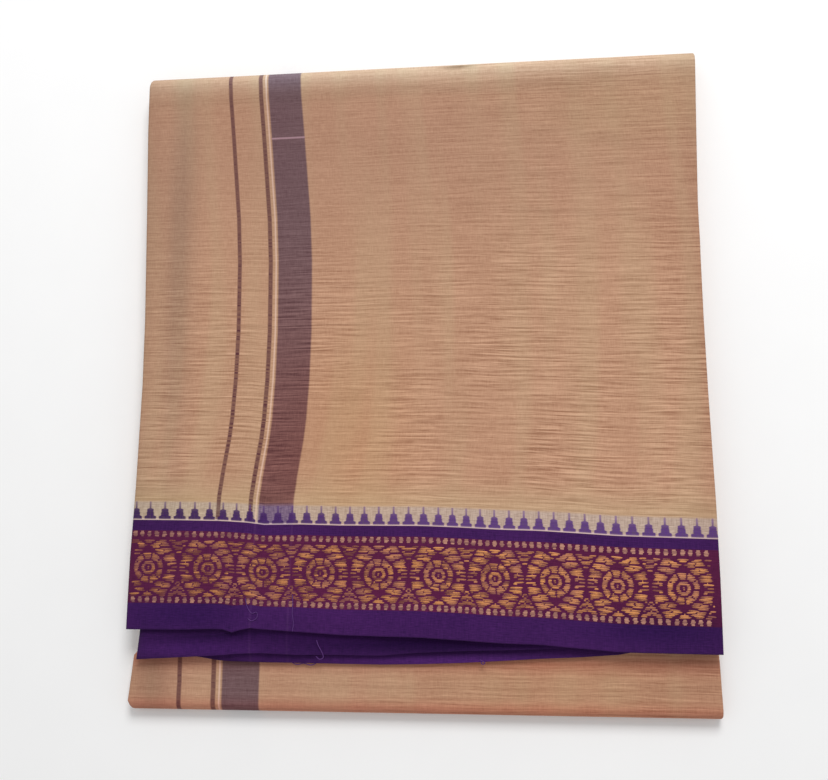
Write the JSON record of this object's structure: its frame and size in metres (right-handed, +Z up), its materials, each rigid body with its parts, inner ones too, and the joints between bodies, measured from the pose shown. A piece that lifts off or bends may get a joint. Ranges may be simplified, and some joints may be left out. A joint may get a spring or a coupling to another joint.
{
  "type": "folded lungi",
  "caption": "Cotton wrap cloth folded into a flat rectangular packet, with a striped field, woven borders and rounded folds, for a shelf or a stack.",
  "frame": {"origin": "on the floor under the middle of the folded packet", "axes": "+Z up, +Y towards the top fold, +X to the right seen from the border's side"},
  "size_m": [0.25, 0.285, 0.0135],
  "materials": {
    "tan_cotton": "matt",
    "purple_border": "soft sheen"
  },
  "bodies": {
    "root": {"front_field": "tan_cotton", "front_border": "purple_border", "second_border": "purple_border", "third_border": "purple_border", "lower_fold": "tan_cotton", "back_panel": "tan_cotton", "hidden_layers": "tan_cotton"}
  },
  "joints": []
}
